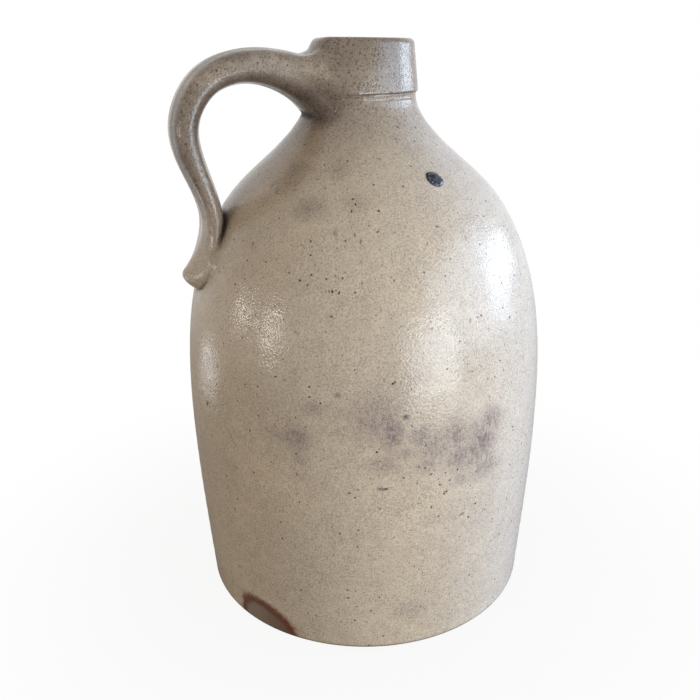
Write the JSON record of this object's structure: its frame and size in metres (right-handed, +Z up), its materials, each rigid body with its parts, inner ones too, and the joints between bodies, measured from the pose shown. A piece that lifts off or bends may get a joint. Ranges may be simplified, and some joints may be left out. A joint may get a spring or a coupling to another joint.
{
  "type": "stoneware jug",
  "caption": "Salt-glazed stoneware jug: straight-sided hollow body, domed shoulder, narrow tooled collar and a strap handle from collar to shoulder.",
  "frame": {"origin": "centre of the flat base, on the axis the jug was thrown about", "axes": "+Z up along the axis of the body and mouth, the handle points along -X"},
  "size_m": [0.182, 0.182, 0.2794],
  "materials": {
    "salt_glaze": "salt glaze with orange-peel texture and iron specks",
    "brown_slip": "glossy brown slip",
    "kiln_glass": "glossy dark glass"
  },
  "bodies": {
    "root": {"body": "salt_glaze", "collar": "salt_glaze", "handle": "salt_glaze", "slip_lining": "brown_slip", "kiln_drop": "kiln_glass"}
  },
  "joints": []
}
